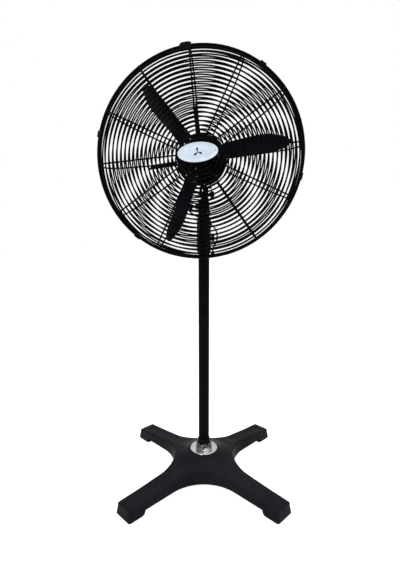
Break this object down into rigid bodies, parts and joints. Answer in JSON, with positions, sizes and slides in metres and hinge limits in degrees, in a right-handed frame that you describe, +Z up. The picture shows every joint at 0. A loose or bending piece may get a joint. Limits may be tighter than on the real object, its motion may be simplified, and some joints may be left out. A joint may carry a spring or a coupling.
{
  "type": "pedestal fan",
  "caption": "Industrial oscillating pedestal fan on a weighted cross base, with a wire guard, paddle blades, a height-adjustable pole, tilt and swivel.",
  "frame": {"origin": "on the floor under the pole axis; the middle of the base's underside is 5.5 mm above it", "axes": "+Z up the pole, -Y the way the air blows, +X to the right seen from the front"},
  "size_m": [0.7247, 0.6642, 1.6898],
  "materials": {
    "black_plastic": "satin black moulded plastic",
    "black_paint": "semi-gloss black paint on steel",
    "guard_wire": "black powder-coated steel wire",
    "rubber": "black rubber and PVC sheath",
    "chrome": "bright chrome plate",
    "steel": "turned steel",
    "cast_iron": "raw casting",
    "lamination": "lamination stack, painted black at its edge",
    "aluminium": "die-cast aluminium",
    "badge_white": "white plate with a raised rim",
    "nylon": "natural nylon"
  },
  "bodies": {
    "stand": {"base_shell": "black_plastic", "ballast": "cast_iron", "base_plate": "black_paint", "foot_pad_1": "rubber", "foot_pad_2": "rubber", "foot_pad_3": "rubber", "foot_pad_4": "rubber", "flange_disc": "chrome", "base_nut": "chrome", "castle_ring": "chrome", "pole_collar": "black_plastic", "outer_tube": "black_paint", "tube_bush": "nylon"},
    "height_lock": {"height_lock_knob": "black_plastic"},
    "mast": {"inner_tube": "chrome", "neck_socket": "black_paint", "tilt_bolt": "steel", "box_shell": "black_plastic", "box_cover": "black_plastic", "box_bracket": "black_paint", "speed_switch": "nylon", "lead_gland": "rubber", "inlet_gland": "rubber", "lead_lower": "rubber"},
    "tilt_clamp": {"tilt_knob": "black_plastic"},
    "speed_control": {"speed_knob": "black_plastic"},
    "tilt_bracket": {"yoke": "black_paint", "swivel_post": "steel", "lead_middle": "rubber"},
    "head": {"motor_front_bell": "black_paint", "stator": "lamination", "motor_rear_bell": "black_paint", "front_bearing": "steel", "rear_bearing": "steel", "gearbox_case": "black_paint", "gearbox_cover": "black_paint", "rear_guard": "guard_wire", "front_guard": "guard_wire", "badge": "badge_white", "strap_1": "black_paint", "strap_2": "black_paint", "strap_3": "black_paint", "strap_4": "black_paint", "rim_clip_1": "black_paint", "rim_clip_2": "black_paint", "rim_clip_3": "black_paint", "rim_clip_4": "black_paint", "rim_lock": "black_paint", "lead_upper": "rubber"},
    "rotor": {"motor_shaft": "steel", "rotor_core": "aluminium", "blade_hub": "black_paint", "blade_nut": "steel", "blade_1": "black_paint", "blade_2": "black_paint", "blade_3": "black_paint"},
    "crank_set": {"oscillation_gear": "nylon", "crank": "steel"},
    "link_rod": {"link": "steel"},
    "clutch": {"clutch_knob": "black_plastic"}
  },
  "joints": [
    {"name": "height_slide", "type": "slide", "parent": "stand", "child": "mast", "axis": [0, 0, 1], "range_m": [0, 0.3]},
    {"name": "height_lock_turn", "type": "hinge", "parent": "stand", "child": "height_lock", "pos_m": [-0.05, 0, 1.152], "axis": [1, 0, 0], "range_deg": [0, 360]},
    {"name": "head_tilt", "type": "hinge", "parent": "mast", "child": "tilt_bracket", "pos_m": [0, 0, 1.199], "axis": [-1, 0, 0], "range_deg": [-12, 18], "deforming": ["lead_middle"]},
    {"name": "tilt_knob_turn", "type": "hinge", "parent": "mast", "child": "tilt_clamp", "pos_m": [0.03, 0, 1.199], "axis": [1, 0, 0], "range_deg": [0, 360]},
    {"name": "head_swivel", "type": "hinge", "parent": "tilt_bracket", "child": "head", "pos_m": [0, 0.00405, 1.31493], "axis": [0, 0.0349, 0.9994], "range_deg": [-30.5, 41.5], "deforming": ["lead_upper"]},
    {"name": "rotor_spin", "type": "hinge", "parent": "head", "child": "rotor", "pos_m": [0, 0.00405, 1.31493], "axis": [-0.0958, -0.9948, 0.0347], "continuous": true},
    {"name": "crank_turn", "type": "hinge", "parent": "head", "child": "crank_set", "pos_m": [0.0154, 0.03662, 1.25376], "axis": [0, 0.0349, 0.9994], "range_deg": [-75, 75]},
    {"name": "link_swing", "type": "hinge", "parent": "crank_set", "child": "link_rod", "pos_m": [0.03235, 0.03768, 1.24671], "axis": [0, 0.0349, 0.9994], "range_deg": [-75, 75]},
    {"name": "clutch_pull", "type": "slide", "parent": "head", "child": "clutch", "axis": [0, 0.0349, 0.9994], "range_m": [0, 0.008]},
    {"name": "speed_turn", "type": "hinge", "parent": "mast", "child": "speed_control", "pos_m": [0.04, 0.051, 1.026], "axis": [1, 0, 0], "range_deg": [0, 135]}
  ],
  "couplings": [
    {"joint": "crank_turn", "follows": "head_swivel", "ratio": -1.8},
    {"joint": "link_swing", "follows": "head_swivel", "ratio": 1.8}
  ]
}
